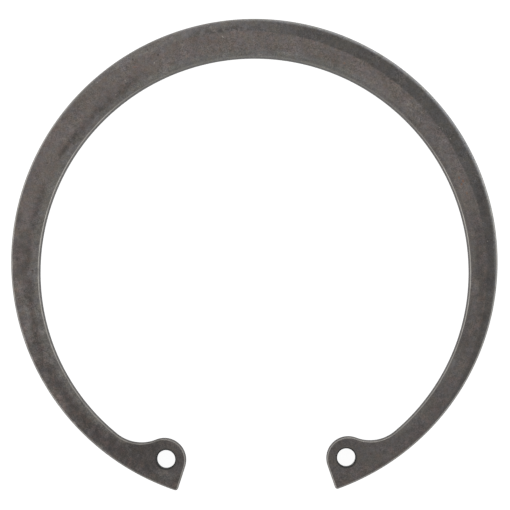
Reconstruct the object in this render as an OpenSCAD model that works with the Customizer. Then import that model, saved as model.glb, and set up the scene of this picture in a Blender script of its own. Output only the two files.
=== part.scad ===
// Internal retaining ring for a bore, stamped from spring-steel strip.
// The free ring lies flat on z = 0, with its gap towards -Y and its rolled edge upwards.
// The origin is the middle of the crown's outer arc, on the resting face. Sizes are in millimetres.

/* [Ring] */
// Outside diameter of the free ring, measured across its crown
free_d = 95.5; // [90:0.5:105]
// Thickness of the strip
thickness = 3; // [1.5:0.25:4]
// Radial width of the strip at the middle of the crown, opposite the gap
crown_w = 7.62; // [6.8:0.02:9]
// Radial width of the strip at its two sides, where the arms begin
side_w = 5.54; // [4.8:0.02:6]
// Amount by which each arm's outer arc is tighter than the crown's
outer_tuck = 0.46; // [0.1:0.02:0.9]
// Amount by which each arm's inner arc is tighter than the crown's
inner_tuck = 1.37; // [1:0.01:1.8]

/* [Lugs] */
// Radius of the round head on each lug
head_r = 4.32; // [3.9:0.02:4.8]
// Angle at the ring's centre between the middle of the gap and each head
head_angle = 25; // [20:0.5:32]
// Distance from the ring's outside radius in to the middle of each head
head_depth = 4.91; // [4.5:0.01:5.6]
// Radius of the hollow where each arm runs into its lug
hollow_r = 7.55; // [5:0.05:9]
// Slope of each end cut against the ring's centre line, in degrees
cut_slope = 18.5; // [14:0.5:24]
// Radius of the tip between each end cut and the outer edge
tip_r = 0.5; // [0.4:0.05:0.9]

/* [Plier holes] */
// Diameter of the hole in each lug
hole_d = 3.6; // [2.5:0.1:4.2]
// Distance from the middle of a head to its hole, towards the gap
hole_to_gap = 0.44; // [0:0.01:0.6]
// Distance from the middle of a head to its hole, towards the crown
hole_to_crown = 0.24; // [0:0.01:0.5]

/* [Edges] */
// Width of the edge that the punch rolled over, on the upper face
roll_w = 0.34; // [0.2:0.01:0.36]
// Depth of that rolled edge below the upper face
roll_h = 0.42; // [0.38:0.01:0.6]
// Size of the small bevel round the resting face
bevel = 0.12; // [0.05:0.01:0.25]

/* [Hidden] */

past = 1;              // how far a cutter runs past the face that it cuts
overlap = 0.004;       // how far arcs that run into each other cross, so that none merely touch
long_arc_fn = 180;     // facets of a full turn on the ring's long arcs
round_fn = 72;         // facets of a full turn on heads, hollows, tips and holes
edge_fn = 36;          // facets of a full turn on the rolled edge

outer_r = free_d / 2;
arm_outer_r = outer_r - outer_tuck;
arm_outer_c = [outer_tuck, 0];
inner_r = outer_r - side_w;
inner_drop = crown_w - side_w;
crown_inner_c = [0, -inner_drop];
arm_inner_r = inner_r - inner_tuck;
arm_inner_c = [inner_tuck, -inner_drop];

// The rolled edge is one arc, tangent to the wall, that runs out on the upper face.
roll_r = (roll_w * roll_w + roll_h * roll_h) / (2 * roll_w);

function heading(v) = atan2(v[1], v[0]);
function along(angle) = [cos(angle), sin(angle)];

// Where two circles cross, on the left of the way from the first centre to the second.
function crossing(c1, r1, c2, r2) =
    let (way = c2 - c1, d = norm(way), step = (r1 * r1 - r2 * r2 + d * d) / (2 * d))
    c1 + way / d * step + [-way[1], way[0]] / d * sqrt(r1 * r1 - step * step);

// Where a line that starts inside a circle, and runs along a direction, leaves it.
function way_out(start, dir, c, r) =
    let (near = (start - c) * dir)
    start + dir * (sqrt(near * near - (start - c) * (start - c) + r * r) - near);

head_c = (outer_r - head_depth) * along(head_angle - 90);
hole_c = head_c + [-hole_to_gap, hole_to_crown];

// The hollow runs into the arm's inner arc from inside and into the head from outside.
hollow_c = crossing(arm_inner_c, arm_inner_r - hollow_r + overlap, head_c, head_r + hollow_r - overlap);
hollow_out = along(heading(hollow_c - arm_inner_c));
web_depth = head_depth / 2;

// The end cut runs from the head outwards to the tip. Its cutter is longer and reaches the gap's middle.
to_gap = along(180 + cut_slope);
down_cut = along(cut_slope - 90);
cut_start = head_c + (head_r - overlap) * to_gap;
cut_length = 3 * head_r;
cut_reach = outer_r / 2;
tip_inset = tip_r - overlap;
tip_c = way_out(cut_start - tip_inset * to_gap, down_cut, arm_outer_c, arm_outer_r - tip_inset);
tip_out = along(heading(tip_c - arm_outer_c));

// What comes off a square corner: its wall is at x = 0, with the metal on the left.
module edge_waste() {
    difference() {
        translate([-roll_r, thickness - roll_h])
            square([roll_r + past, roll_h + past]);
        translate([-roll_r, thickness - roll_h])
            circle(roll_r, $fn = edge_fn);
    }
    polygon([[-bevel - past, -past], [past, -past], [past, bevel + past]]);
}

// A round blank with the strip's edges, or the sector of it that starts at a heading.
module blank(r, from = 0, turn = 360, fn = round_fn) {
    rotate_extrude(angle = turn, start = from, $fn = fn)
        difference() {
            square([r, thickness]);
            translate([r, 0]) edge_waste();
        }
}

// A punch that leaves a round opening with the strip's edges, or a sector of that punch.
module punch(r, from = 0, turn = 360, fn = round_fn) {
    rotate_extrude(angle = turn, start = from, $fn = fn) {
        translate([0, -past]) square([r, thickness + 2 * past]);
        translate([r, 0]) mirror([1, 0]) edge_waste();
    }
}

module through(points) {
    translate([0, 0, -past])
        linear_extrude(thickness + 2 * past) polygon(points);
}

// Half of the crown with one arm. Crown and arm meet on the level of their arcs' centres.
module half_strip() {
    difference() {
        union() {
            blank(outer_r, 0, 90, long_arc_fn);
            translate(arm_outer_c) blank(arm_outer_r, -90, 90, long_arc_fn);
        }
        union() {
            translate(crown_inner_c) punch(inner_r, 0, 95, long_arc_fn);
            translate(arm_inner_c) punch(arm_inner_r, -180, 180, long_arc_fn);
        }
    }
}

// The metal that widens the arm into its lug, as far as the head and the end cut.
module web() {
    difference() {
        linear_extrude(thickness)
            polygon([
                hollow_c,
                hollow_c + (hollow_r + web_depth) * hollow_out,
                head_c + web_depth * down_cut,
                head_c + web_depth * down_cut + (head_r + past) * to_gap,
                head_c + (head_r + past) * to_gap,
                head_c
            ]);
        translate(hollow_c) punch(hollow_r);
    }
}

// The straight end cut with its edges, and all that lies on the gap's side of it.
module end_cut() {
    translate(cut_start - cut_length * down_cut)
        multmatrix([
            [to_gap[0], 0, down_cut[0], 0],
            [to_gap[1], 0, down_cut[1], 0],
            [0, 1, 0, 0],
            [0, 0, 0, 1]
        ])
        linear_extrude(2 * cut_length) {
            edge_waste();
            translate([0, -past]) square([cut_reach, thickness + 2 * past]);
        }
}

// The sharp corner that comes off where the end cut meets the outer edge.
module tip_waste() {
    difference() {
        through([
            tip_c,
            tip_c + head_r * to_gap,
            tip_c + head_r * (to_gap + tip_out),
            tip_c + head_r * tip_out
        ]);
        translate(tip_c) blank(tip_r);
    }
}

module half_ring() {
    difference() {
        union() {
            difference() {
                union() {
                    web();
                    half_strip();
                }
                end_cut();
            }
            translate(head_c) blank(head_r);
        }
        tip_waste();
        translate(hole_c) punch(hole_d / 2);
    }
}

module retaining_ring() {
    color([0.30, 0.28, 0.27]) {
        half_ring();
        mirror([1, 0, 0]) half_ring();
    }
}

retaining_ring();
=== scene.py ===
"""Visual model of an internal retaining ring, in metres: shape, finish, floor and lights."""

import math

import bpy
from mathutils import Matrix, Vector


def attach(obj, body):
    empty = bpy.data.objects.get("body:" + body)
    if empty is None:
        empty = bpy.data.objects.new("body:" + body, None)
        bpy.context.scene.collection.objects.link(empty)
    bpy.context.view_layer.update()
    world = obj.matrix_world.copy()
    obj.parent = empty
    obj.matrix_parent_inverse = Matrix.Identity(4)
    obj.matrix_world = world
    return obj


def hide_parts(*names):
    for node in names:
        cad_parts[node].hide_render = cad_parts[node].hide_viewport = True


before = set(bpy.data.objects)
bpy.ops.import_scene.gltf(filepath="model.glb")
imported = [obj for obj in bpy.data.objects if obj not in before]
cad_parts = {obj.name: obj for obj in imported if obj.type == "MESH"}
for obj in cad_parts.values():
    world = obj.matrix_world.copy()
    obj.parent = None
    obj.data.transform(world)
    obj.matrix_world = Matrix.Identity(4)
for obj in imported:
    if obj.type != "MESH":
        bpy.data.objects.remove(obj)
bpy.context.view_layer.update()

MM = 0.001

# Sizes of the free ring, as in the part's source.
OUTER_R = 47.75 * MM
THICKNESS = 3.0 * MM
CROWN_WIDTH = 7.62 * MM
SIDE_WIDTH = 5.54 * MM
OUTER_TUCK = 0.46 * MM
INNER_TUCK = 1.37 * MM
HEAD_R = 4.32 * MM
HEAD_ANGLE = 25.0
HEAD_DEPTH = 4.91 * MM
HOLLOW_R = 7.55 * MM
CUT_SLOPE = 18.5
TIP_R = 0.5 * MM
HOLE_R = 1.8 * MM
HOLE_TO_GAP = 0.44 * MM
HOLE_TO_CROWN = 0.24 * MM
ROLL_WIDTH = 0.34 * MM
ROLL_DEPTH = 0.42 * MM
BEVEL = 0.12 * MM

# How finely the ring is drawn: the longest step along an arc, the most degrees that one step
# turns, the steps along each end cut and the points across the roll.
ARC_STEP = 0.35 * MM
ARC_TURN = 3
CUT_STEPS = 12
ROLL_STEPS = 9

# The flat strip beside the roll, how near points are merged, and which angle is a crease.
MARGIN = 0.12 * MM
WELD_DISTANCE = 0.0005 * MM
CREASE_ANGLE = 30

INNER_R = OUTER_R - SIDE_WIDTH
ARM_OUTER_R = OUTER_R - OUTER_TUCK
ARM_INNER_R = INNER_R - INNER_TUCK
INNER_DROP = CROWN_WIDTH - SIDE_WIDTH


# ---------------------------------------------------------------------------
# Outline of the strip


def heading(way):
    return math.degrees(math.atan2(way.y, way.x))


def along(angle):
    turn = math.radians(angle)
    return Vector((math.cos(turn), math.sin(turn)))


def crossing(centre, radius, other_centre, other_radius):
    """Where two circles cross, on the left of the way from the first centre to the other."""
    way = other_centre - centre
    squares = radius * radius - other_radius * other_radius + way.length_squared
    step = squares / (2 * way.length)
    side = math.sqrt(radius * radius - step * step)
    ahead = way.normalized()
    return centre + ahead * step + Vector((-ahead.y, ahead.x)) * side


def way_out(start, direction, centre, radius):
    """Where a line that starts inside a circle leaves it."""
    offset = start - centre
    near = offset.dot(direction)
    reach = math.sqrt(near * near - offset.length_squared + radius * radius)
    return start + direction * (reach - near)


def arc(centre, radius, start, end):
    """Points along an arc, without its last one, in steps that suit its radius."""
    steps = max(
        math.ceil(abs(end - start) / ARC_TURN),
        math.ceil(math.radians(abs(end - start)) * radius / ARC_STEP),
    )
    return [
        centre + radius * along(start + (end - start) * i / steps)
        for i in range(steps)
    ]


def right_head():
    """The middle of the right lug's round head."""
    return (OUTER_R - HEAD_DEPTH) * along(HEAD_ANGLE - 90)


def right_hole():
    """The middle of the right lug's plier hole."""
    return right_head() + Vector((-HOLE_TO_GAP, HOLE_TO_CROWN))


def half_outline():
    """The right half's outline, from the crown's inner edge round the lug to its outer edge."""
    crown_inner = Vector((0, -INNER_DROP))
    arm_inner = Vector((INNER_TUCK, -INNER_DROP))
    arm_outer = Vector((OUTER_TUCK, 0))
    crown_outer = Vector((0, 0))
    head = right_head()
    hollow = crossing(arm_inner, ARM_INNER_R - HOLLOW_R, head, HEAD_R + HOLLOW_R)
    to_gap = along(180 + CUT_SLOPE)
    down_cut = along(CUT_SLOPE - 90)
    tip_line = head + (HEAD_R - TIP_R) * to_gap
    tip = way_out(tip_line, down_cut, arm_outer, ARM_OUTER_R - TIP_R)
    cut_start = head + HEAD_R * to_gap
    cut_end = tip + TIP_R * to_gap
    points = []
    points += arc(crown_inner, INNER_R, 90, 0)
    points += arc(arm_inner, ARM_INNER_R, 0, heading(hollow - arm_inner))
    points += arc(hollow, HOLLOW_R, heading(hollow - arm_inner), heading(head - hollow))
    points += arc(head, HEAD_R, heading(hollow - head), 180 + CUT_SLOPE)
    points += [cut_start.lerp(cut_end, i / CUT_STEPS) for i in range(CUT_STEPS)]
    points += arc(tip, TIP_R, 180 + CUT_SLOPE, heading(tip - arm_outer) + 360)
    points += arc(arm_outer, ARM_OUTER_R, heading(tip - arm_outer), 0)
    points += arc(crown_outer, OUTER_R, 0, 90)
    return points


def outline_curve():
    """A flat curve of the strip's outline and its two plier holes, with the metal on its left."""
    right = half_outline()
    left = [Vector((-point.x, point.y)) for point in reversed(right[1:])]
    crown_out = Vector((0, OUTER_R))
    crown_in = Vector((0, INNER_R - INNER_DROP))
    loops = [right + [crown_out] + left + [crown_in]]
    hole = right_hole()
    for side in (1, -1):
        loops.append(arc(Vector((side * hole.x, hole.y)), HOLE_R, 360, 0))
    curve = bpy.data.curves.new("ring_outline", "CURVE")
    curve.dimensions = "2D"
    curve.fill_mode = "NONE"
    for loop in loops:
        spline = curve.splines.new("POLY")
        spline.points.add(len(loop) - 1)
        for point, at in zip(spline.points, loop):
            point.co = (at.x, at.y, 0, 1)
        spline.use_cyclic_u = True
    outline = bpy.data.objects.new("ring_outline", curve)
    bpy.context.scene.collection.objects.link(outline)
    return outline


# ---------------------------------------------------------------------------
# Nodes, which are used alike for shapes and finishes


def place(tree, kind, links=None, **settings):
    """Add a node, set its properties and join or set its inputs by name or number."""
    node = tree.nodes.new(kind)
    for name, value in settings.items():
        setattr(node, name, value)
    for socket, source in (links or {}).items():
        if isinstance(source, bpy.types.NodeSocket):
            tree.links.new(source, node.inputs[socket])
        else:
            node.inputs[socket].default_value = source
    return node


def math_of(tree, operation, first, second=0.0):
    node = place(tree, "ShaderNodeMath", {0: first, 1: second}, operation=operation)
    return node.outputs[0]


def product_of(tree, first, *others):
    """All the values multiplied, one after another."""
    for other in others:
        first = math_of(tree, "MULTIPLY", first, other)
    return first


def vector_of(tree, x, y, z):
    return place(tree, "ShaderNodeCombineXYZ", {"X": x, "Y": y, "Z": z}).outputs[0]


def parts_of(tree, vector):
    return place(tree, "ShaderNodeSeparateXYZ", {"Vector": vector}).outputs


def vector_math_of(tree, operation, first, second=(0.0, 0.0, 0.0)):
    """The vector that an operation on two vectors gives."""
    node = place(tree, "ShaderNodeVectorMath", {0: first, 1: second}, operation=operation)
    return node.outputs["Vector"]


def measure_of(tree, operation, first, second=(0.0, 0.0, 0.0)):
    """The number that an operation on two vectors gives, such as their distance."""
    node = place(tree, "ShaderNodeVectorMath", {0: first, 1: second}, operation=operation)
    return node.outputs["Value"]


def scaled(tree, vector, factor):
    links = {0: vector, "Scale": factor}
    return place(tree, "ShaderNodeVectorMath", links, operation="SCALE").outputs["Vector"]


# ---------------------------------------------------------------------------
# Shape of the stamped strip, made with Geometry Nodes


def strip_inputs(tree):
    """Name the strip's inputs and its output, and give the inputs."""
    sockets = tree.interface
    sockets.new_socket("Outline", in_out="INPUT", socket_type="NodeSocketGeometry")
    for name in ("Thickness", "Roll width", "Roll depth", "Margin", "Bevel"):
        sockets.new_socket(name, in_out="INPUT", socket_type="NodeSocketFloat")
    sockets.new_socket("Roll steps", in_out="INPUT", socket_type="NodeSocketInt")
    for name in ("Face finish", "Edge finish"):
        sockets.new_socket(name, in_out="INPUT", socket_type="NodeSocketMaterial")
    sockets.new_socket("Strip", in_out="OUTPUT", socket_type="NodeSocketGeometry")
    return tree.nodes.new("NodeGroupInput").outputs


def kept_attributes(tree, geometry, values, domain="POINT"):
    """A geometry that keeps some values, each named with its kind and its source."""
    node = place(tree, "GeometryNodeCaptureAttribute", domain=domain)
    tree.links.new(geometry, node.inputs["Geometry"])
    for name, (kind, source) in values.items():
        node.capture_items.new(kind, name)
        if isinstance(source, bpy.types.NodeSocket):
            tree.links.new(source, node.inputs[name])
        else:
            node.inputs[name].default_value = source
    return node.outputs


def joined(tree, pieces):
    node = tree.nodes.new("GeometryNodeJoinGeometry")
    for piece in pieces:
        tree.links.new(piece, node.inputs[0])
    return node.outputs[0]


def shifted(tree, geometry, shift):
    links = {"Geometry": geometry, "Translation": shift}
    return place(tree, "GeometryNodeTransform", links).outputs[0]


def flipped(tree, mesh):
    return place(tree, "GeometryNodeFlipFaces", {"Mesh": mesh}).outputs[0]


def outline_rail(tree, outline):
    """The outline, which keeps each point's place and its way outwards from the metal."""
    tangent = tree.nodes.new("GeometryNodeInputTangent").outputs[0]
    outwards = vector_math_of(tree, "CROSS_PRODUCT", tangent, (0.0, 0.0, 1.0))
    spot = tree.nodes.new("GeometryNodeInputPosition").outputs[0]
    return kept_attributes(
        tree, outline, {"Place": ("VECTOR", spot), "Outwards": ("VECTOR", outwards)}
    )


def roll_arc(tree, given, wall_top):
    """The rolled edge: one arc, tangent to the wall, that runs out on the upper face."""
    width_squared = math_of(tree, "MULTIPLY", given["Roll width"], given["Roll width"])
    depth_squared = math_of(tree, "MULTIPLY", given["Roll depth"], given["Roll depth"])
    both = math_of(tree, "ADD", width_squared, depth_squared)
    twice_width = math_of(tree, "MULTIPLY", given["Roll width"], 2.0)
    radius = math_of(tree, "DIVIDE", both, twice_width)
    sine = math_of(tree, "DIVIDE", given["Roll depth"], radius)
    turn = math_of(tree, "ARCSINE", sine)
    bow = place(
        tree,
        "GeometryNodeCurveArc",
        {
            "Resolution": given["Roll steps"],
            "Radius": radius,
            "Start Angle": 0.0,
            "Sweep Angle": turn,
        },
        mode="RADIUS",
    ).outputs["Curve"]
    inwards = math_of(tree, "MULTIPLY", radius, -1.0)
    return shifted(tree, bow, vector_of(tree, inwards, wall_top, 0.0))


def edge_section(tree, given, margin_in, bevel_in):
    """The section of an edge, with its wall at x = 0 and the metal on the left.

    It runs up from the lower face over the bevel, the wall and the roll. It ends with a
    narrow flat margin, which keeps the roll's shading off the broad upper face.
    """
    def line(start, end):
        links = {"Start": start, "End": end}
        return place(tree, "GeometryNodeCurvePrimitiveLine", links).outputs[0]

    wall_top = math_of(tree, "SUBTRACT", given["Thickness"], given["Roll depth"])
    width_in = math_of(tree, "MULTIPLY", given["Roll width"], -1.0)
    foot = vector_of(tree, bevel_in, 0.0, 0.0)
    wall_low = vector_of(tree, 0.0, given["Bevel"], 0.0)
    wall_high = vector_of(tree, 0.0, wall_top, 0.0)
    roll_end = vector_of(tree, width_in, given["Thickness"], 0.0)
    margin_end = vector_of(tree, margin_in, given["Thickness"], 0.0)
    profile = joined(
        tree,
        (
            line(foot, wall_low),
            line(wall_low, wall_high),
            roll_arc(tree, given, wall_top),
            line(roll_end, margin_end),
        ),
    )
    spot = tree.nodes.new("GeometryNodeInputPosition").outputs[0]
    return kept_attributes(tree, profile, {"Section": ("VECTOR", spot)})


def swept_edge(tree, rail, section):
    """The section carried round the rail. Its faces are marked as the edge."""
    swept = place(
        tree,
        "GeometryNodeCurveToMesh",
        {"Curve": rail["Geometry"], "Profile Curve": section["Geometry"]},
    ).outputs[0]
    parts = parts_of(tree, section["Section"])
    outset = scaled(tree, rail["Outwards"], parts["X"])
    height = vector_of(tree, 0.0, 0.0, parts["Y"])
    level = vector_math_of(tree, "ADD", rail["Place"], outset)
    at = vector_math_of(tree, "ADD", level, height)
    walls = place(
        tree, "GeometryNodeSetPosition", {"Geometry": swept, "Position": at}
    ).outputs[0]
    return kept_attributes(tree, flipped(tree, walls), {"Edge": ("BOOLEAN", True)}, "FACE")


def plate(tree, rail, inset, height):
    """A flat face at a height, as far within the outline as the inset says."""
    inner = place(
        tree,
        "GeometryNodeSetPosition",
        {"Geometry": rail["Geometry"], "Offset": scaled(tree, rail["Outwards"], inset)},
    ).outputs[0]
    filled = place(tree, "GeometryNodeFillCurve", {"Curve": inner}).outputs[0]
    return shifted(tree, filled, vector_of(tree, 0.0, 0.0, height))


def smooth_but_creased(tree, mesh):
    """Faces shaded smooth, with crisp edges where they meet at a clear angle."""
    smooth = place(
        tree,
        "GeometryNodeSetShadeSmooth",
        {"Geometry": mesh, "Shade Smooth": True},
        domain="FACE",
    ).outputs[0]
    angle = tree.nodes.new("GeometryNodeInputMeshEdgeAngle").outputs["Unsigned Angle"]
    sharp = math_of(tree, "GREATER_THAN", angle, math.radians(CREASE_ANGLE))
    return place(
        tree,
        "GeometryNodeSetShadeSmooth",
        {"Geometry": smooth, "Selection": sharp, "Shade Smooth": False},
        domain="EDGE",
    ).outputs[0]


def stamped_strip_tree():
    """Give a flat outline its thickness, with a rolled upper edge and a bevelled lower one."""
    tree = bpy.data.node_groups.new("stamped_strip", "GeometryNodeTree")
    given = strip_inputs(tree)
    rail = outline_rail(tree, given["Outline"])
    width_and_margin = math_of(tree, "ADD", given["Roll width"], given["Margin"])
    margin_in = math_of(tree, "MULTIPLY", width_and_margin, -1.0)
    bevel_in = math_of(tree, "MULTIPLY", given["Bevel"], -1.0)
    section = edge_section(tree, given, margin_in, bevel_in)
    edge = swept_edge(tree, rail, section)
    upper = plate(tree, rail, margin_in, given["Thickness"])
    lower = flipped(tree, plate(tree, rail, bevel_in, 0.0))
    whole = joined(tree, (edge["Geometry"], upper, lower))
    links = {"Geometry": whole, "Distance": WELD_DISTANCE}
    welded = place(tree, "GeometryNodeMergeByDistance", links).outputs[0]
    creased = smooth_but_creased(tree, welded)
    real = place(tree, "GeometryNodeRealizeInstances", {"Geometry": creased}).outputs[0]
    links = {"Geometry": real, "Material": given["Face finish"]}
    faced = place(tree, "GeometryNodeSetMaterial", links).outputs[0]
    links = {"Geometry": faced, "Selection": edge["Edge"], "Material": given["Edge finish"]}
    finished = place(tree, "GeometryNodeSetMaterial", links).outputs[0]
    place(tree, "NodeGroupOutput", {"Strip": finished})
    return tree


def stamped_piece(name, outline, values):
    """Run the strip's tree on an outline and keep what it makes as a plain mesh."""
    tree = stamped_strip_tree()
    modifier = outline.modifiers.new("stamp", "NODES")
    modifier.node_group = tree
    for item in tree.interface.items_tree:
        if item.name in values:
            modifier[item.identifier] = values[item.name]
    depsgraph = bpy.context.evaluated_depsgraph_get()
    mesh = bpy.data.meshes.new_from_object(
        outline.evaluated_get(depsgraph), depsgraph=depsgraph
    )
    piece = bpy.data.objects.new(name, mesh)
    mesh.name = name
    bpy.context.scene.collection.objects.link(piece)
    bpy.data.objects.remove(outline, do_unlink=True)
    return piece


# ---------------------------------------------------------------------------
# Effects that the finishes share. Places and sizes in them are in millimetres.


def socket_kind(default):
    """The kind of socket for a value: a colour has four parts and a vector three."""
    if isinstance(default, float):
        return "NodeSocketFloat"
    return {3: "NodeSocketVector", 4: "NodeSocketColor"}[len(default)]


def effect_group(name, inputs, outputs, output_kind="NodeSocketFloat"):
    """A new shader group with named inputs, each with its default, and named outputs."""
    tree = bpy.data.node_groups.new(name, "ShaderNodeTree")
    for label, default in inputs.items():
        kind = socket_kind(default)
        socket = tree.interface.new_socket(label, in_out="INPUT", socket_type=kind)
        socket.default_value = default
    for label in outputs:
        tree.interface.new_socket(label, in_out="OUTPUT", socket_type=output_kind)
    given = tree.nodes.new("NodeGroupInput").outputs
    result = tree.nodes.new("NodeGroupOutput").inputs
    return tree, given, result


def group_of(tree, group, values):
    node = tree.nodes.new("ShaderNodeGroup")
    node.node_tree = group
    for name, value in values.items():
        if isinstance(value, bpy.types.NodeSocket):
            tree.links.new(value, node.inputs[name])
        else:
            node.inputs[name].default_value = value
    return node.outputs


def noise_of(tree, where, scale, detail=3.0, roughness=0.5):
    return place(
        tree,
        "ShaderNodeTexNoise",
        {"Vector": where, "Scale": scale, "Detail": detail, "Roughness": roughness},
    ).outputs["Fac"]


def ramp_of(tree, value, low, high, result_low=0.0, result_high=1.0):
    """Turn a value smoothly from one level to another between two limits."""
    return place(
        tree,
        "ShaderNodeMapRange",
        {
            "Value": value,
            "From Min": low,
            "From Max": high,
            "To Min": result_low,
            "To Max": result_high,
        },
        interpolation_type="SMOOTHSTEP",
    ).outputs["Result"]


def blend_of(tree, mask, under, over, mode="MIX"):
    node = tree.nodes.new("ShaderNodeMix")
    node.data_type = "RGBA"
    node.blend_type = mode
    for socket, source in ((0, mask), (6, under), (7, over)):
        if isinstance(source, bpy.types.NodeSocket):
            tree.links.new(source, node.inputs[socket])
        else:
            node.inputs[socket].default_value = source
    return node.outputs[2]


def linear(red, green, blue):
    """A colour given as it is seen on a screen, from 0 to 255, as Blender wants it."""
    def channel(value):
        value = value / 255
        if value <= 0.04045:
            return value / 12.92
        return ((value + 0.055) / 1.055) ** 2.4

    return (channel(red), channel(green), channel(blue), 1.0)


def circle_mark_group():
    """The two marks that a round part leaves on what lies under it: a line and a side."""
    tree, given, result = effect_group(
        "circle_mark",
        {
            "Place": (0.0, 0.0, 0.0),
            "Centre": (0.0, 0.0, 0.0),
            "Radius": 47.0,
            "Softness": 0.3,
            "Line width": 0.6,
            "Waver": 0.3,
        },
        ("Outside", "Line"),
    )
    wander = noise_of(tree, given["Place"], 0.16)
    wander = math_of(tree, "SUBTRACT", wander, 0.5)
    wander = math_of(tree, "MULTIPLY", wander, given["Waver"])
    reach = measure_of(tree, "DISTANCE", given["Place"], given["Centre"])
    past = math_of(tree, "SUBTRACT", reach, given["Radius"])
    past = math_of(tree, "ADD", past, wander)
    inner_limit = math_of(tree, "MULTIPLY", given["Softness"], -1.0)
    outside = ramp_of(tree, past, inner_limit, given["Softness"])
    off_line = math_of(tree, "ABSOLUTE", past)
    line = ramp_of(tree, off_line, given["Line width"], 0.0)
    tree.links.new(outside, result["Outside"])
    tree.links.new(line, result["Line"])
    return tree


def spot_group():
    """A soft round or long spot with a ragged edge."""
    tree, given, result = effect_group(
        "spot",
        {
            "Place": (0.0, 0.0, 0.0),
            "Centre": (0.0, 0.0, 0.0),
            "Turn": 0.0,
            "Half width": 1.0,
            "Half length": 2.0,
            "Raggedness": 0.3,
        },
        ("Mask",),
    )
    turned = place(
        tree,
        "ShaderNodeVectorRotate",
        {
            "Vector": vector_math_of(tree, "SUBTRACT", given["Place"], given["Centre"]),
            "Angle": given["Turn"],
        },
        rotation_type="Z_AXIS",
    ).outputs[0]
    parts = parts_of(tree, turned)
    across = math_of(tree, "DIVIDE", parts["X"], given["Half width"])
    lengthwise = math_of(tree, "DIVIDE", parts["Y"], given["Half length"])
    reach = measure_of(tree, "LENGTH", vector_of(tree, across, lengthwise, 0.0))
    rag = noise_of(tree, given["Place"], 0.9)
    rag = math_of(tree, "SUBTRACT", rag, 0.5)
    rag = math_of(tree, "MULTIPLY", rag, given["Raggedness"])
    reach = math_of(tree, "ADD", reach, rag)
    mask = ramp_of(tree, reach, 1.0, 0.15)
    tree.links.new(mask, result["Mask"])
    return tree


def coat_grain_group():
    """The mottle, speckle, warm blush, pits and crystals of a phosphate coat."""
    tree, given, result = effect_group(
        "coat_grain",
        {
            "Place": (0.0, 0.0, 0.0),
            "Cloud size": 3.0,
            "Grain size": 0.5,
            "Speckle size": 0.2,
            "Pit share": 0.1,
            "Crystal share": 0.05,
        },
        ("Clouds", "Grain", "Speckle", "Warmth", "Pits", "Crystals", "Relief"),
    )

    def cloudy(size, detail, roughness, shift):
        scale = math_of(tree, "DIVIDE", 1.0, size)
        moved = vector_math_of(tree, "ADD", given["Place"], (shift, shift, 0.0))
        return noise_of(tree, moved, scale, detail, roughness)

    def scattered(cell_scale, share, radius):
        cells = place(
            tree,
            "ShaderNodeTexVoronoi",
            {"Vector": given["Place"], "Scale": cell_scale, "Randomness": 1.0},
            voronoi_dimensions="3D",
        ).outputs
        chosen = place(tree, "ShaderNodeSeparateColor", {"Color": cells["Color"]}).outputs
        picked = math_of(tree, "LESS_THAN", chosen["Red"], share)
        size = math_of(tree, "MULTIPLY", chosen["Green"], radius)
        dot = ramp_of(tree, cells["Distance"], size, 0.0)
        return math_of(tree, "MULTIPLY", dot, picked)

    grain = cloudy(given["Grain size"], 4.0, 0.7, 20.0)
    speckle = cloudy(given["Speckle size"], 2.0, 0.6, 40.0)
    pits = scattered(0.85, given["Pit share"], 0.34)
    relief = math_of(tree, "MULTIPLY", speckle, 0.6)
    relief = math_of(tree, "ADD", relief, grain)
    relief = math_of(tree, "SUBTRACT", relief, pits)
    for label, value in (
        ("Clouds", cloudy(given["Cloud size"], 4.0, 0.55, 0.0)),
        ("Grain", grain),
        ("Speckle", speckle),
        ("Warmth", cloudy(given["Grain size"], 4.0, 0.6, 60.0)),
        ("Pits", pits),
        ("Crystals", scattered(1.3, given["Crystal share"], 0.26)),
        ("Relief", relief),
    ):
        tree.links.new(value, result[label])
    return tree


CIRCLE_MARK = circle_mark_group()
SPOT = spot_group()
COAT_GRAIN = coat_grain_group()


# ---------------------------------------------------------------------------
# Colour of the phosphate coat


COVERED = linear(96, 90, 87)
# A painted shade towards the lugs.
LOWER_SHADE = linear(69, 65, 63)
BARE_LEFT = linear(105, 101, 99)
BARE_RIGHT = linear(70, 67, 65)
# The outer rim's colour is a painted highlight.
OUTER_RIM_HIGHLIGHT = linear(156, 156, 157)
INNER_RIM = linear(101, 99, 96)
SHADE = linear(56, 51, 49)
WORN = linear(108, 105, 102)
BLUSH = linear(97, 81, 76)
RUST = linear(122, 80, 48)
PALE = linear(168, 162, 154)
PIT = linear(44, 31, 28)
CRYSTAL = linear(134, 130, 126)
# The wall's colours are painted dark, partly as shade.
BURNISHED_AND_SHADED = linear(52, 49, 47)
TORN_AND_SHADED = linear(34, 31, 30)
HOLE_DARK = linear(26, 24, 23)
# The rubbed band's colour, partly a painted highlight.
RUBBED_AND_HIGHLIGHT = linear(148, 145, 140)

# Tints that a colour is multiplied by. The grain's are cool and warm, the film's bluish and
# yellowish.
GRAIN_TINTS = ((0.965, 1.0, 1.02, 1.0), (1.045, 0.997, 0.965, 1.0))
FILM_TINTS = ((0.99, 1.0, 1.05, 1.0), (1.0, 1.0, 0.95, 1.0))
RIGHT_TINT = (0.985, 1.0, 1.01, 1.0)

# Heights of the upper face and of the wall's upper end, and three ways across the ring.
TOP = THICKNESS / MM
WALL_TOP = TOP - ROLL_DEPTH / MM
UPPER_RIGHT = (0.77, 0.64, 0.0)
LOWER_LEFT = (-0.5, -0.87, 0.0)
CROWNWARDS = (0.2, 0.98, 0.0)

# How the coat reflects, and how ragged its broad and its small marks are.
COAT_METALLIC = 0.25
COAT_SPECULAR = 0.45
BROAD_RAGGEDNESS = 1.2
SMALL_RAGGEDNESS = 0.8

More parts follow.
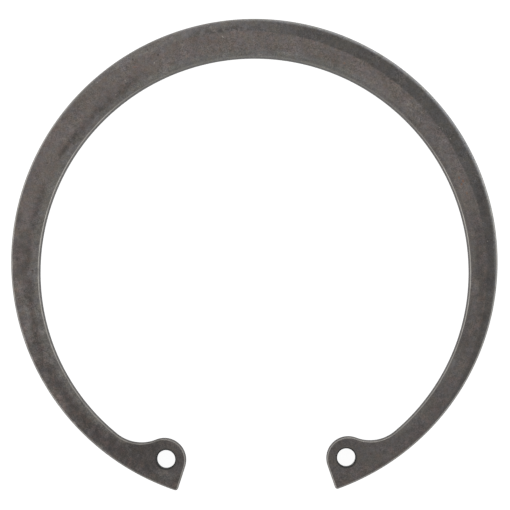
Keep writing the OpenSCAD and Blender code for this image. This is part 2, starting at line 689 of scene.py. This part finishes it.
# Where a second ring lay on this one in the coating bath.
NEIGHBOUR_OUTER_C = (-1.60, -1.84, TOP)
NEIGHBOUR_OUTER_R = 47.2
NEIGHBOUR_INNER_C = (-1.75, -2.35, TOP)
NEIGHBOUR_INNER_R = 42.8

# Marks on the coat. Each has its clock angle, its distance out, how far it leans off the
# ring's own curve, its half width, its half length and its strength. Angles are in degrees.
STAINS = (
    (-88, 45.6, 0, 2.2, 6.0, 0.54),
    (-98, 44.1, 2, 0.9, 4.5, 0.40),
    (-110, 44.4, 0, 0.7, 3.5, 0.20),
    (-121, 45.0, 0, 1.2, 5.0, 0.45),
    (-80, 46.9, 0, 1.2, 4.0, 0.40),
    (-130, 45.3, 0, 1.7, 7.0, 0.86),
    (-140, 45.3, 0, 2.6, 8.0, 0.66),
    (-152, 43.6, 0, 5.0, 8.0, 0.78),
    (-153.5, 40.0, 0, 1.8, 3.2, 0.60),
    (-158.8, 41.2, 0, 1.8, 2.6, 0.60),
    (-160.0, 44.8, 0, 1.4, 1.6, 0.35),
    (-151, 46.0, 0, 1.0, 2.0, 0.20),
    (-52, 43.2, 0, 0.7, 4.0, 0.30),
    (-36, 42.8, 0, 1.9, 7.5, 0.36),
    (75, 46.3, 0, 1.0, 5.5, 0.55),
    (97, 45.3, 0, 1.1, 7.5, 0.42),
    (106, 46.3, 0, 1.0, 7.0, 0.48),
    (79, 44.2, 0, 2.6, 6.0, 0.32),
    (90, 45.3, 0, 3.4, 19.0, 0.46),
    (88, 44.0, 0, 2.2, 10.0, 0.40),
    (108, 44.6, 0, 2.8, 9.0, 0.42),
    (117, 47.0, 0, 1.1, 6.0, 0.50),
)
WORN_PATCHES = (
    (-156.8, 45.2, 0, 1.7, 2.5, 0.40),
    (-141, 43.7, 0, 0.6, 4.0, 0.30),
    (-110, 46.6, 0, 1.1, 4.0, 0.28),
    (-101, 45.4, 0, 0.8, 3.6, 0.32),
    (-121, 43.5, 0, 0.7, 5.0, 0.28),
    (-140, 47.2, 0, 0.6, 4.0, 0.30),
    (-104, 46.0, 0, 1.6, 6.5, 0.30),
    (-27, 46.0, 0, 1.0, 5.0, 0.28),
    (96, 42.0, 0, 0.8, 4.0, 0.25),
    (88, 47.4, 0, 0.7, 7.0, 0.62),
    (137, 43.8, 0, 0.8, 7.0, 0.28),
    (90, 42.9, 0, 0.9, 4.5, 0.35),
    (119, 43.6, 0, 0.8, 5.0, 0.40),
    (140, 45.8, 0, 1.1, 3.5, 0.18),
)
RUST_SPOTS = (
    (68.4, 43.4, 20, 0.32, 0.5, 0.45),
    (69.4, 43.9, 10, 0.28, 0.5, 0.65),
    (70.1, 43.4, 40, 0.26, 0.4, 0.65),
    (72.8, 43.8, 10, 0.3, 0.6, 0.30),
    (52.6, 43.1, 0, 0.14, 0.16, 0.40),
    (25, 42.8, 0, 0.25, 0.3, 0.6),
    (-31, 44.9, 30, 0.3, 0.6, 0.3),
)
DEEP_PITS = (
    (-24.4, 44.8, 0, 0.28, 0.32, 0.9),
    (-26.2, 46.6, 60, 0.2, 0.35, 0.7),
    (0.9, 42.6, 0, 0.2, 0.2, 0.7),
    (38, 44.2, 30, 0.2, 0.3, 0.6),
    (-64, 45.0, 0, 0.25, 0.25, 0.7),
    (-112, 45.2, 40, 0.2, 0.35, 0.6),
)
PALE_SPECKS = (
    (-26.1, 43.7, 0, 0.2, 0.22, 0.7),
    (-34.9, 43.7, 0, 0.2, 0.2, 0.6),
    (-40.6, 46.8, 0, 0.16, 0.18, 0.6),
    (-39.1, 42.6, 0, 0.16, 0.18, 0.5),
    (-7.4, 44.6, 45, 0.14, 0.36, 0.8),
    (8.7, 41.5, 0, 0.16, 0.16, 0.5),
    (2.0, 40.6, 0, 0.35, 0.6, 0.30),
    (54.7, 44.9, 0, 0.13, 0.15, 0.70),
    (58.5, 45.4, 0, 0.14, 0.16, 0.85),
    (80.9, 45.5, 0, 0.13, 0.15, 0.60),
    (85.6, 45.9, 0, 0.12, 0.14, 0.50),
    (55.3, 45.2, 30, 0.08, 0.5, 0.30),
    (69.4, 46.9, -35, 0.08, 0.7, 0.30),
)


def clock_place(angle, radius):
    """A place on the ring by its angle from the crown, clockwise, and its distance out."""
    turn = math.radians(angle)
    return (radius * math.sin(turn), radius * math.cos(turn), TOP)


def marked(tree, where, colour, marks, tone, raggedness):
    """Lay a tone over a colour at each of a few marks. Their masks are joined first."""
    untouched = 1.0
    for angle, radius, lean, half_width, half_length, strength in marks:
        mask = group_of(
            tree,
            SPOT,
            {
                "Place": where,
                "Centre": clock_place(angle, radius),
                "Turn": math.radians(angle + 90 + lean),
                "Half width": half_width,
                "Half length": half_length,
                "Raggedness": raggedness,
            },
        )["Mask"]
        kept = math_of(tree, "MULTIPLY", mask, -strength)
        kept = math_of(tree, "ADD", kept, 1.0)
        untouched = math_of(tree, "MULTIPLY", untouched, kept)
    touched = math_of(tree, "SUBTRACT", 1.0, untouched)
    return blend_of(tree, touched, colour, tone)


def past_inner_edge(tree, parts):
    """How far a place on the crown or an arm lies outside the inner arc."""
    on_arms = math_of(tree, "LESS_THAN", parts["Y"], -INNER_DROP / MM)
    tuck = math_of(tree, "MULTIPLY", on_arms, INNER_TUCK / MM)
    off_axis = math_of(tree, "ABSOLUTE", parts["X"])
    across = math_of(tree, "SUBTRACT", off_axis, tuck)
    upwards = math_of(tree, "ADD", parts["Y"], INNER_DROP / MM)
    reach = measure_of(tree, "LENGTH", vector_of(tree, across, upwards, 0.0))
    radius = math_of(tree, "SUBTRACT", INNER_R / MM, tuck)
    return math_of(tree, "SUBTRACT", reach, radius)


def shadowed_inside(tree, where, parts, colour):
    """A broken dark line runs along the neighbour's inner edge, on the left only."""
    line = group_of(
        tree,
        CIRCLE_MARK,
        {
            "Place": where,
            "Centre": NEIGHBOUR_INNER_C,
            "Radius": NEIGHBOUR_INNER_R,
            "Line width": 1.5,
            "Waver": 2.0,
        },
    )["Line"]
    patches = ramp_of(tree, noise_of(tree, where, 0.12), 0.36, 0.62, 0.25, 0.85)
    flecks = ramp_of(tree, noise_of(tree, where, 1.1, 4.0, 0.7), 0.35, 0.6, 0.55, 1.1)
    on_left = ramp_of(tree, parts["X"], -14.0, -26.0)
    mask = product_of(tree, line, patches, flecks, on_left)
    return blend_of(tree, mask, colour, SHADE)


def bared_outside(tree, parts, colour, exposed):
    """What lay outside the neighbour is bare of its shadow, paler on the left."""
    to_right = ramp_of(tree, parts["X"], -14.0, 15.0)
    bare = blend_of(tree, to_right, BARE_LEFT, BARE_RIGHT)
    return blend_of(tree, exposed, colour, bare)


def blotted(tree, where, parts, colour, outer_line, exposed):
    """Dark blots lie outside the neighbour's outer edge, just left of the crown's middle."""
    trail = ramp_of(tree, parts["X"], -38.0, -28.0, 0.0, 0.2)
    enters = ramp_of(tree, parts["X"], -13.0, -9.0, 0.0, 0.7)
    enters = math_of(tree, "ADD", enters, trail)
    leaves = ramp_of(tree, parts["X"], 3.0, -2.0)
    blots = ramp_of(tree, noise_of(tree, where, 0.9, 4.0, 0.7), 0.43, 0.55, 0.0, 0.9)
    mask = product_of(tree, blots, enters, leaves, outer_line, exposed)
    return blend_of(tree, mask, colour, SHADE)


def highlighted_outer_rim(tree, where, colour):
    """A painted highlight along the outer rim, brightest on the upper right, where the light
    falls.
    """
    rim = OUTER_R / MM
    reach = measure_of(tree, "DISTANCE", where, (0.0, 0.0, TOP))
    at_rim = ramp_of(tree, reach, rim - 0.78, rim - 0.1)
    upper_right = measure_of(tree, "DOT_PRODUCT", where, UPPER_RIGHT)
    wear_and_sheen = ramp_of(tree, upper_right, 24.0, 44.0, 0.07, 0.92)
    return blend_of(tree, product_of(tree, at_rim, wear_and_sheen), colour, OUTER_RIM_HIGHLIGHT)


def rubbed_inner_rim(tree, parts, colour, near_rim, off_lugs):
    """The inner rim is rubbed paler on the left and at the crown."""
    strength = ramp_of(tree, parts["X"], 14.0, 38.0, 0.85, 0.0)
    at_crown = ramp_of(tree, parts["X"], -27.0, -12.0, 0.74, 1.15)
    mask = product_of(tree, strength, off_lugs, at_crown, near_rim)
    return blend_of(tree, mask, colour, INNER_RIM)


def shade_beside_roll(tree, parts, colour, past_edge, off_lugs):
    """Painted shade: a narrow darker band close beside the rolled inner edge, stronger on the
    right.
    """
    off_line = math_of(tree, "SUBTRACT", past_edge, 0.68)
    off_line = math_of(tree, "ABSOLUTE", off_line)
    shade_band = ramp_of(tree, off_line, 0.42, 0.0)
    by_side = ramp_of(tree, parts["X"], -30.0, 20.0, 0.10, 0.26)
    by_height = ramp_of(tree, parts["Y"], -25.0, -5.0, 0.5, 1.0)
    mask = product_of(tree, shade_band, by_side, by_height, off_lugs)
    return blend_of(tree, mask, colour, SHADE)


def blushed(tree, where, colour, near_rim, exposed):
    """A warm blush lies in patches, weakest where the coat is rubbed or bare."""
    blush = ramp_of(tree, noise_of(tree, where, 0.7), 0.42, 0.70, 0.0, 0.36)
    rubbed_or_bare = math_of(tree, "MAXIMUM", near_rim, exposed)
    plain = ramp_of(tree, rubbed_or_bare, 0.0, 1.0, 1.0, 0.15)
    return blend_of(tree, product_of(tree, blush, plain), colour, BLUSH)


def mottled(tree, where, colour, grain):
    """The grain is strongest on the lower left, and next strongest on the upper right."""
    lower_left = measure_of(tree, "DOT_PRODUCT", where, LOWER_LEFT)
    upper_right = measure_of(tree, "DOT_PRODUCT", where, UPPER_RIGHT)
    strength = ramp_of(tree, lower_left, 18.0, 44.0, 0.68, 1.0)
    extra = ramp_of(tree, upper_right, 36.0, 46.0, 0.0, 0.14)
    strength = math_of(tree, "ADD", strength, extra)
    patchy = ramp_of(tree, noise_of(tree, where, 0.3, 2.0), 0.35, 0.65, 0.7, 1.25)
    strength = math_of(tree, "MULTIPLY", strength, patchy)
    for name, low_end, high_end in (
        ("Clouds", 0.84, 1.16),
        ("Grain", 0.69, 1.31),
        ("Speckle", 0.54, 1.46),
    ):
        mottle = ramp_of(tree, grain[name], 0.3, 0.7, low_end, high_end)
        colour = blend_of(tree, strength, colour, mottle, "MULTIPLY")
    return colour


def blotched(tree, where, parts, colour):
    """The left arm is blotched as well."""
    lower = ramp_of(tree, parts["Y"], 16.0, 2.0)
    leftmost = ramp_of(tree, parts["X"], -12.0, -24.0)
    on_left_arm = math_of(tree, "MULTIPLY", lower, leftmost)
    blotches = ramp_of(tree, noise_of(tree, where, 0.5, 3.0, 0.6), 0.34, 0.66, 0.8, 1.2)
    return blend_of(tree, on_left_arm, colour, blotches, "MULTIPLY")


def tinted(tree, where, parts, colour, warmth):
    """The tint wanders from grain to grain and with the oil film, and cools on the right."""
    warm = ramp_of(tree, warmth, 0.35, 0.65)
    tint = blend_of(tree, warm, *GRAIN_TINTS)
    colour = blend_of(tree, 1.0, colour, tint, "MULTIPLY")
    on_right = ramp_of(tree, parts["X"], 26.0, 40.0)
    colour = blend_of(tree, on_right, colour, RIGHT_TINT, "MULTIPLY")
    film = ramp_of(tree, noise_of(tree, where, 0.55, 3.0, 0.6), 0.36, 0.64)
    tint = blend_of(tree, film, *FILM_TINTS)
    return blend_of(tree, 1.0, colour, tint, "MULTIPLY")


def coat_colour_group():
    """The phosphate coat's colour, without its pits, crystals and smallest marks."""
    tree, given, result = effect_group(
        "coat_colour",
        {
            "Place": (0.0, 0.0, 0.0),
            "Clouds": 0.5,
            "Grain": 0.5,
            "Speckle": 0.5,
            "Warmth": 0.5,
        },
        ("Colour",),
        "NodeSocketColor",
    )
    where = given["Place"]
    parts = parts_of(tree, where)

    # Painted shade darkens the face from the ring's middle down to the lugs.
    low = ramp_of(tree, parts["Y"], 6.0, -42.0, 0.0, 0.82)
    colour = blend_of(tree, low, COVERED, LOWER_SHADE)

    # What the neighbour covered, and what lay outside it.
    colour = shadowed_inside(tree, where, parts, colour)
    outer_mark = group_of(
        tree,
        CIRCLE_MARK,
        {
            "Place": where,
            "Centre": NEIGHBOUR_OUTER_C,
            "Radius": NEIGHBOUR_OUTER_R,
            "Softness": 0.2,
            "Line width": 1.9,
            "Waver": 0.45,
        },
    )
    exposed = math_of(tree, "MULTIPLY", outer_mark["Outside"], 0.96)
    colour = bared_outside(tree, parts, colour, exposed)
    colour = blotted(tree, where, parts, colour, outer_mark["Line"], exposed)

    # The rims. The outer one gets a painted highlight, and the inner one is rubbed up to a
    # wavering line.
    colour = highlighted_outer_rim(tree, where, colour)
    past_edge = past_inner_edge(tree, parts)
    wander = ramp_of(tree, noise_of(tree, where, 0.16), 0.2, 0.8, -0.3, 0.3)
    wavering = math_of(tree, "ADD", past_edge, wander)
    near_rim = ramp_of(tree, wavering, 2.3, 0.7)
    off_lugs = ramp_of(tree, parts["Y"], -35.0, -31.5)
    colour = rubbed_inner_rim(tree, parts, colour, near_rim, off_lugs)
    # Painted shade beside the inner roll.
    colour = shade_beside_roll(tree, parts, colour, past_edge, off_lugs)

    # Broad marks, and then the grain over everything.
    colour = marked(tree, where, colour, STAINS, SHADE, BROAD_RAGGEDNESS)
    colour = marked(tree, where, colour, WORN_PATCHES, WORN, BROAD_RAGGEDNESS)
    colour = blushed(tree, where, colour, near_rim, exposed)
    colour = mottled(tree, where, colour, given)
    colour = blotched(tree, where, parts, colour)
    colour = tinted(tree, where, parts, colour, given["Warmth"])
    tree.links.new(colour, result["Colour"])
    return tree


def coat_flecks_group():
    """The coat's open pits and pale crystals, laid over a colour."""
    tree, given, result = effect_group(
        "coat_flecks",
        {"Colour": COVERED, "Pits": 0.0, "Crystals": 0.0},
        ("Colour",),
        "NodeSocketColor",
    )
    pits = math_of(tree, "MULTIPLY", given["Pits"], 0.85)
    colour = blend_of(tree, pits, given["Colour"], PIT)
    crystals = math_of(tree, "MULTIPLY", given["Crystals"], 0.6)
    colour = blend_of(tree, crystals, colour, CRYSTAL)
    tree.links.new(colour, result["Colour"])
    return tree


COAT_COLOUR = coat_colour_group()
COAT_FLECKS = coat_flecks_group()


# ---------------------------------------------------------------------------
# Finishes


def new_finish(name):
    """A material with its Principled shader, and its own places in millimetres."""
    finish = bpy.data.materials.new(name)
    finish.use_nodes = True
    tree = finish.node_tree
    shader = tree.nodes["Principled BSDF"]
    shader.inputs["Metallic"].default_value = COAT_METALLIC
    shader.inputs["Specular IOR Level"].default_value = COAT_SPECULAR
    spot = tree.nodes.new("ShaderNodeTexCoord").outputs["Object"]
    links = {"Vector": spot, "Scale": (1 / MM, 1 / MM, 1 / MM)}
    where = place(tree, "ShaderNodeMapping", links).outputs[0]
    return finish, tree, shader, where


def coat_colour(tree, where, grain):
    """The coat's colour on a piece with a given grain, before its flecks."""
    values = {name: grain[name] for name in ("Clouds", "Grain", "Speckle", "Warmth")}
    return group_of(tree, COAT_COLOUR, {"Place": where, **values})["Colour"]


def flecked(tree, colour, grain):
    values = {"Colour": colour, "Pits": grain["Pits"], "Crystals": grain["Crystals"]}
    return group_of(tree, COAT_FLECKS, values)["Colour"]


def relief_normal(tree, height, strength, depth):
    links = {"Height": height, "Strength": strength, "Distance": depth}
    return place(tree, "ShaderNodeBump", links).outputs[0]


def phosphated_face_finish():
    """Dark phosphated and oiled spring steel, for the two broad faces."""
    finish, tree, shader, where = new_finish("phosphated_face")
    grain = group_of(
        tree,
        COAT_GRAIN,
        {
            "Place": where,
            "Cloud size": 4.5,
            "Grain size": 0.66,
            "Speckle size": 0.18,
            "Pit share": 0.09,
            "Crystal share": 0.035,
        },
    )
    colour = coat_colour(tree, where, grain)
    for marks, tone in ((RUST_SPOTS, RUST), (DEEP_PITS, PIT), (PALE_SPECKS, PALE)):
        colour = marked(tree, where, colour, marks, tone, SMALL_RAGGEDNESS)
    colour = flecked(tree, colour, grain)
    tree.links.new(colour, shader.inputs["Base Color"])
    gloss = ramp_of(tree, grain["Clouds"], 0.3, 0.7, 0.56, 0.44)
    tree.links.new(gloss, shader.inputs["Roughness"])
    normal = relief_normal(tree, grain["Relief"], 0.3, 0.03 * MM)
    tree.links.new(normal, shader.inputs["Normal"])
    return finish


def in_holes(tree, parts):
    """1 within the plier holes and on their rolled edges, 0 elsewhere."""
    hole = right_hole() / MM
    off_axis = math_of(tree, "ABSOLUTE", parts["X"])
    flat = vector_of(tree, off_axis, parts["Y"], 0.0)
    reach = measure_of(tree, "DISTANCE", flat, (hole.x, hole.y, 0.0))
    rim = (HOLE_R + ROLL_WIDTH) / MM
    return ramp_of(tree, reach, rim + 0.05, rim - 0.12)


def rubbed_and_lit_on_roll(tree, where, parts, holes):
    """Where handling has rubbed the roll bright, in a narrow band below its top; the band is also
    a painted highlight, weak at the crown where little light falls.
    """
    rising = ramp_of(tree, parts["Z"], WALL_TOP + 0.18, WALL_TOP + 0.33)
    falling = ramp_of(tree, parts["Z"], TOP - 0.003, TOP - 0.035)
    towards_crown = measure_of(tree, "DOT_PRODUCT", where, CROWNWARDS)
    off_crown = ramp_of(tree, towards_crown, 34.0, 21.0, 0.4, 1.0)
    wear_and_sheen = ramp_of(tree, noise_of(tree, where, 0.5), 0.3, 0.6, 0.7, 1.0)
    upper = ramp_of(tree, parts["Y"], -12.0, 12.0, 0.84, 1.0)
    right_of_lug = ramp_of(tree, parts["X"], -12.0, -8.0, 0.85, 1.0)
    above_lug = ramp_of(tree, parts["Y"], -35.0, -31.0, 0.85, 1.0)
    off_left_lug = math_of(tree, "MAXIMUM", right_of_lug, above_lug)
    outside_holes = math_of(tree, "SUBTRACT", 1.0, holes)
    return product_of(
        tree, rising, falling, off_crown, wear_and_sheen, upper, off_left_lug, outside_holes
    )


def sheared_edge_finish():
    """The punched wall: rubbed bright on its roll, partly as a painted highlight; burnished below
    it and torn at its foot, with painted shade darkening both.
    """
    finish, tree, shader, where = new_finish("sheared_edge")
    grain = group_of(
        tree,
        COAT_GRAIN,
        {
            "Place": where,
            "Cloud size": 2.5,
            "Grain size": 0.35,
            "Speckle size": 0.16,
            "Pit share": 0.12,
            "Crystal share": 0.03,
        },
    )
    coat = flecked(tree, coat_colour(tree, where, grain), grain)
    parts = parts_of(tree, where)

    # The wall below the roll, painted dark, partly as shade on the wall. Heights are in
    # millimetres above the lower face.
    ragged = math_of(tree, "MULTIPLY", grain["Clouds"], 0.8)
    height = math_of(tree, "ADD", parts["Z"], ragged)
    torn = ramp_of(tree, height, 1.75, 1.35)
    below = ramp_of(tree, parts["Z"], WALL_TOP + 0.2, WALL_TOP - 0.05)
    wall = blend_of(tree, torn, BURNISHED_AND_SHADED, TORN_AND_SHADED)
    wall = blend_of(tree, 0.35, wall, coat)
    colour = blend_of(tree, below, coat, wall)

    # The plier holes and their rolled edges are made near black, and no wear reaches their edges.
    holes = in_holes(tree, parts)
    colour = blend_of(tree, holes, colour, HOLE_DARK)

    # The rubbed band is painted paler than the coat, partly as a painted highlight, and is more
    # metallic.
    rubbed_and_lit = rubbed_and_lit_on_roll(tree, where, parts, holes)
    paint = math_of(tree, "MULTIPLY", rubbed_and_lit, 0.9)
    colour = blend_of(tree, paint, colour, RUBBED_AND_HIGHLIGHT)
    tree.links.new(colour, shader.inputs["Base Color"])
    shine = math_of(tree, "MULTIPLY", rubbed_and_lit, 0.42)
    shine = math_of(tree, "ADD", shine, COAT_METALLIC)
    tree.links.new(shine, shader.inputs["Metallic"])

    # The wall is duller and the rubbed band smoother. The torn part is the roughest.
    dull = math_of(tree, "MULTIPLY", below, 0.15)
    smooth = math_of(tree, "MULTIPLY", rubbed_and_lit, -0.14)
    gloss = math_of(tree, "ADD", dull, smooth)
    gloss = math_of(tree, "ADD", gloss, 0.5)
    tree.links.new(gloss, shader.inputs["Roughness"])
    rough = math_of(tree, "MULTIPLY", grain["Relief"], torn)
    calm = math_of(tree, "MULTIPLY", grain["Relief"], 0.25)
    relief = math_of(tree, "ADD", rough, calm)
    normal = relief_normal(tree, relief, 0.5, 0.06 * MM)
    tree.links.new(normal, shader.inputs["Normal"])
    return finish


# ---------------------------------------------------------------------------
# The ring


RING = stamped_piece(
    "stamped_ring",
    outline_curve(),
    {
        "Thickness": THICKNESS,
        "Roll width": ROLL_WIDTH,
        "Roll depth": ROLL_DEPTH,
        "Margin": MARGIN,
        "Bevel": BEVEL,
        "Roll steps": ROLL_STEPS,
        "Face finish": phosphated_face_finish(),
        "Edge finish": sheared_edge_finish(),
    },
)
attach(RING, "root")
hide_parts("retaining_ring")


# ---------------------------------------------------------------------------
# Floor, surroundings, lights and camera


WHITE = (1.0, 1.0, 1.0, 1.0)
FLOOR_GREY = (0.3, 0.3, 0.3, 1.0)
FLOOR_SIZE = 3.0
FLOOR_GLOW = 0.93
ROOM_LIGHT = 0.42

# Each light has its name, its place, its size and its power.
LIGHTS = (
    ("left_light", (-0.75, -0.08, 0.52), (1.2, 0.28), 3.3),
    ("right_light", (0.75, -0.08, 0.52), (1.2, 0.28), 2.8),
    ("far_light", (0.0, 0.75, 0.52), (0.6, 0.3), 1.6),
)

# The camera's height above the ring, how far it stands aside of what it is aimed at, where
# that is, and by how many degrees it is rolled.
CAMERA_HEIGHT = 0.48
CAMERA_ASIDE = Vector((0.0035, -0.0090))
CAMERA_AIM = Vector((0.00017, 0.00129))
CAMERA_ROLL = -0.57
SENSOR_WIDTH = 36.0
FOCAL_LENGTH = 172.78


def seen_directly(tree):
    """1 for rays from the camera and for those that gloss or glass carries on, else 0."""
    path = tree.nodes.new("ShaderNodeLightPath").outputs
    seen = math_of(tree, "MAXIMUM", path["Is Camera Ray"], path["Is Glossy Ray"])
    return math_of(tree, "MAXIMUM", seen, path["Is Transmission Ray"])


def pale_floor():
    """A white floor under the ring that keeps a faint shadow."""
    half = FLOOR_SIZE / 2
    corners = [(-half, -half, 0), (half, -half, 0), (half, half, 0), (-half, half, 0)]
    mesh = bpy.data.meshes.new("floor")
    mesh.from_pydata(corners, [], [(0, 1, 2, 3)])
    floor = bpy.data.objects.new("floor", mesh)
    bpy.context.scene.collection.objects.link(floor)
    paint = bpy.data.materials.new("white_floor")
    paint.use_nodes = True
    tree = paint.node_tree
    tree.nodes.clear()
    matt = place(tree, "ShaderNodeBsdfDiffuse", {"Color": FLOOR_GREY}).outputs[0]
    lift = math_of(tree, "MULTIPLY", seen_directly(tree), FLOOR_GLOW)
    links = {"Color": WHITE, "Strength": lift}
    glow = place(tree, "ShaderNodeEmission", links).outputs[0]
    both = place(tree, "ShaderNodeAddShader", {0: matt, 1: glow}).outputs[0]
    place(tree, "ShaderNodeOutputMaterial", {"Surface": both})
    mesh.materials.append(paint)


def background_of(tree, strength):
    links = {"Color": WHITE, "Strength": strength}
    return place(tree, "ShaderNodeBackground", links).outputs[0]


def pale_surroundings():
    """Even white light from all round, seen as plain white."""
    world = bpy.data.worlds.new("white_room")
    bpy.context.scene.world = world
    world.use_nodes = True
    tree = world.node_tree
    tree.nodes.clear()
    light = background_of(tree, ROOM_LIGHT)
    shown = background_of(tree, 1.0)
    links = {0: seen_directly(tree), 1: light, 2: shown}
    mix = place(tree, "ShaderNodeMixShader", links).outputs[0]
    place(tree, "ShaderNodeOutputWorld", {"Surface": mix})


def soft_light(name, position, size, power):
    """A rectangular soft light that faces the ring."""
    data = bpy.data.lights.new(name, "AREA")
    data.shape = "RECTANGLE"
    data.size = size[0]
    data.size_y = size[1]
    data.energy = power
    light = bpy.data.objects.new(name, data)
    bpy.context.scene.collection.objects.link(light)
    light.location = position
    light.rotation_euler = (-Vector(position)).to_track_quat("-Z", "Y").to_euler()


def overhead_camera():
    """A long lens almost straight above the ring, aimed at its middle from a little aside."""
    data = bpy.data.cameras.new("overhead")
    data.sensor_width = SENSOR_WIDTH
    data.lens = FOCAL_LENGTH
    data.clip_start = 0.01
    data.clip_end = 10.0
    camera = bpy.data.objects.new("overhead", data)
    bpy.context.scene.collection.objects.link(camera)
    camera.location = (*(CAMERA_AIM + CAMERA_ASIDE), THICKNESS + CAMERA_HEIGHT)
    lean_up = math.atan2(-CAMERA_ASIDE.y, CAMERA_HEIGHT)
    lean_left = math.atan2(CAMERA_ASIDE.x, CAMERA_HEIGHT)
    camera.rotation_mode = "ZYX"
    camera.rotation_euler = (lean_up, lean_left, math.radians(CAMERA_ROLL))
    bpy.context.scene.camera = camera


pale_floor()
pale_surroundings()
for light in LIGHTS:
    soft_light(*light)
overhead_camera()
bpy.context.scene.view_settings.view_transform = "Standard"
